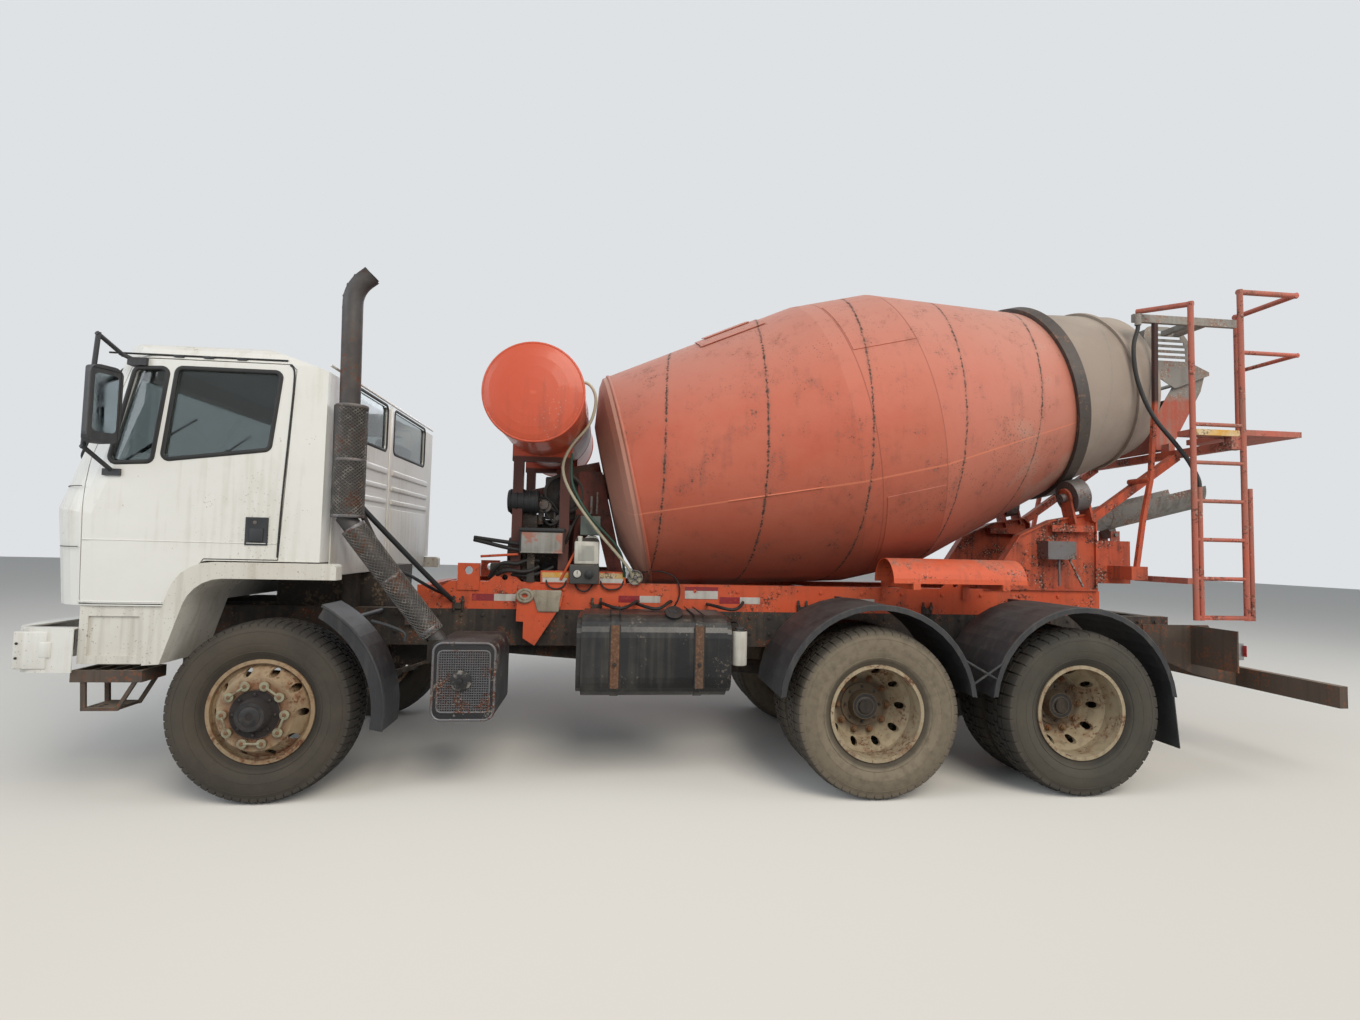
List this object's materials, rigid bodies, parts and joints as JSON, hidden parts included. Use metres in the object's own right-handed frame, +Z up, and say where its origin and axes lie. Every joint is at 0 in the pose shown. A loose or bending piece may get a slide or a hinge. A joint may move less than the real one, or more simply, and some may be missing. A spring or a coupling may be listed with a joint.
{
  "type": "concrete mixer truck",
  "caption": "Forward-control truck with a tilting cab, tandem rear axles and an inclined rotating concrete drum with hopper, ladder and discharge chute.",
  "frame": {"origin": "middle of the truck's length and width, on the ground", "axes": "+X towards the rear, +Y to the truck's right-hand side with the cab ahead, +Z up"},
  "size_m": [8.2651, 2.8422, 3.5474],
  "materials": {
    "cab_paint": "worn satin",
    "orange_paint": "faded satin",
    "drum_paint": "faded matte",
    "black_paint": "dusty matte",
    "chassis_paint": "dusty matte",
    "rim_paint": "dusty matte",
    "galvanised": "dull",
    "bare_steel": "dull",
    "cast_metal": "rough",
    "tyre": "dusty",
    "rubber_hose": "smooth",
    "plastic_black": "dusty",
    "interior": "matte",
    "glass": "clear",
    "lamp": "gloss"
  },
  "bodies": {
    "chassis": {"chassis_frame": "chassis_paint", "front_axle": "cast_metal", "rear_axles": "cast_metal", "leaf_springs": "bare_steel", "engine": "cast_metal", "mudguards": "plastic_black", "bumper": "cab_paint", "lamps": "lamp", "cab_steps": "chassis_paint", "fuel_tank": "black_paint", "silencer": "black_paint", "exhaust_stack": "bare_steel", "subframe": "orange_paint", "mixer_engine": "cast_metal", "water_tank": "orange_paint", "front_pedestal": "orange_paint", "rear_pedestal": "orange_paint", "hopper": "galvanised", "ladder": "orange_paint", "spare_chute": "orange_paint", "underrun_bar": "chassis_paint", "rear_hose": "rubber_hose", "chute_valve": "cast_metal"},
    "cab": {"cab_shell": "cab_paint", "cab_roof": "cab_paint", "cab_front": "cab_paint", "cab_glass": "glass", "cab_arches": "cab_paint", "cab_interior": "interior"},
    "door_left": {"door_left": "cab_paint", "door_glass_left": "glass", "mirror_left": "plastic_black"},
    "door_right": {"door_right": "cab_paint", "door_glass_right": "glass", "mirror_right": "plastic_black"},
    "knuckle_left": {"knuckle_left": "cast_metal"},
    "knuckle_right": {"knuckle_right": "cast_metal"},
    "track_rod": {"track_rod": "bare_steel"},
    "wheel_front_left": {"rim_front_left": "rim_paint", "tyre_front_left": "tyre"},
    "wheel_front_right": {"rim_front_right": "rim_paint", "tyre_front_right": "tyre"},
    "wheels_rear1_left": {"rims_rear1_left": "rim_paint", "tyres_rear1_left": "tyre"},
    "wheels_rear1_right": {"rims_rear1_right": "rim_paint", "tyres_rear1_right": "tyre"},
    "wheels_rear2_left": {"rims_rear2_left": "rim_paint", "tyres_rear2_left": "tyre"},
    "wheels_rear2_right": {"rims_rear2_right": "rim_paint", "tyres_rear2_right": "tyre"},
    "drum": {"drum": "drum_paint", "drum_ring": "bare_steel"},
    "roller_left": {"roller_left": "bare_steel"},
    "roller_right": {"roller_right": "bare_steel"},
    "chute_post": {"chute_post": "chassis_paint"},
    "chute": {"chute": "galvanised"}
  },
  "joints": [
    {"name": "cab_tilt", "type": "hinge", "parent": "chassis", "child": "cab", "pos_m": [-4.02, 0, 1.085], "axis": [0, -1, 0], "range_deg": [0, 50]},
    {"name": "door_left_swing", "type": "hinge", "parent": "cab", "child": "door_left", "pos_m": [-3.735, -1.168, 1.8], "axis": [0, 0, -1], "range_deg": [0, 70]},
    {"name": "door_right_swing", "type": "hinge", "parent": "cab", "child": "door_right", "pos_m": [-3.735, 1.168, 1.8], "axis": [0, 0, 1], "range_deg": [0, 70]},
    {"name": "steer_left", "type": "hinge", "parent": "chassis", "child": "knuckle_left", "pos_m": [-2.78, -0.84, 0.522], "axis": [0, 0, 1], "range_deg": [-35, 35]},
    {"name": "steer_right", "type": "hinge", "parent": "chassis", "child": "knuckle_right", "pos_m": [-2.78, 0.84, 0.522], "axis": [0, 0, 1], "range_deg": [-35, 35]},
    {"name": "track_rod_pivot", "type": "hinge", "parent": "knuckle_left", "child": "track_rod", "pos_m": [-2.59, -0.84, 0.402], "axis": [0, 0, 1], "range_deg": [-35, 35]},
    {"name": "wheel_front_left_spin", "type": "hinge", "parent": "knuckle_left", "child": "wheel_front_left", "pos_m": [-2.78, -0.98, 0.522], "axis": [0, 1, 0], "continuous": true},
    {"name": "wheel_front_right_spin", "type": "hinge", "parent": "knuckle_right", "child": "wheel_front_right", "pos_m": [-2.78, 0.98, 0.522], "axis": [0, 1, 0], "continuous": true},
    {"name": "wheels_rear1_left_spin", "type": "hinge", "parent": "chassis", "child": "wheels_rear1_left", "pos_m": [0.86, -0.92, 0.522], "axis": [0, 1, 0], "continuous": true},
    {"name": "wheels_rear1_right_spin", "type": "hinge", "parent": "chassis", "child": "wheels_rear1_right", "pos_m": [0.86, 0.92, 0.522], "axis": [0, 1, 0], "continuous": true},
    {"name": "wheels_rear2_left_spin", "type": "hinge", "parent": "chassis", "child": "wheels_rear2_left", "pos_m": [2.21, -0.92, 0.522], "axis": [0, 1, 0], "continuous": true},
    {"name": "wheels_rear2_right_spin", "type": "hinge", "parent": "chassis", "child": "wheels_rear2_right", "pos_m": [2.21, 0.92, 0.522], "axis": [0, 1, 0], "continuous": true},
    {"name": "drum_turn", "type": "hinge", "parent": "chassis", "child": "drum", "pos_m": [-0.715, 0, 2.005], "axis": [0.974, 0, 0.2267], "continuous": true},
    {"name": "roller_left_turn", "type": "hinge", "parent": "chassis", "child": "roller_left", "pos_m": [2.72344, -0.44617, 1.97873], "axis": [0.974, 0, 0.2267], "continuous": true},
    {"name": "roller_right_turn", "type": "hinge", "parent": "chassis", "child": "roller_right", "pos_m": [2.72344, 0.44617, 1.97873], "axis": [0.974, 0, 0.2267], "continuous": true},
    {"name": "chute_slew", "type": "hinge", "parent": "chassis", "child": "chute_post", "pos_m": [3.37, 0, 1.5], "axis": [0, 0, 1], "range_deg": [-50, 50]},
    {"name": "chute_lift", "type": "hinge", "parent": "chute_post", "child": "chute", "pos_m": [3.37, 0, 1.7], "axis": [0, 1, 0], "range_deg": [-8, 55]}
  ],
  "couplings": [
    {"joint": "steer_right", "follows": "steer_left", "ratio": 1},
    {"joint": "track_rod_pivot", "follows": "steer_left", "ratio": -1},
    {"joint": "roller_left_turn", "follows": "drum_turn", "ratio": -6.36},
    {"joint": "roller_right_turn", "follows": "drum_turn", "ratio": -6.36}
  ]
}
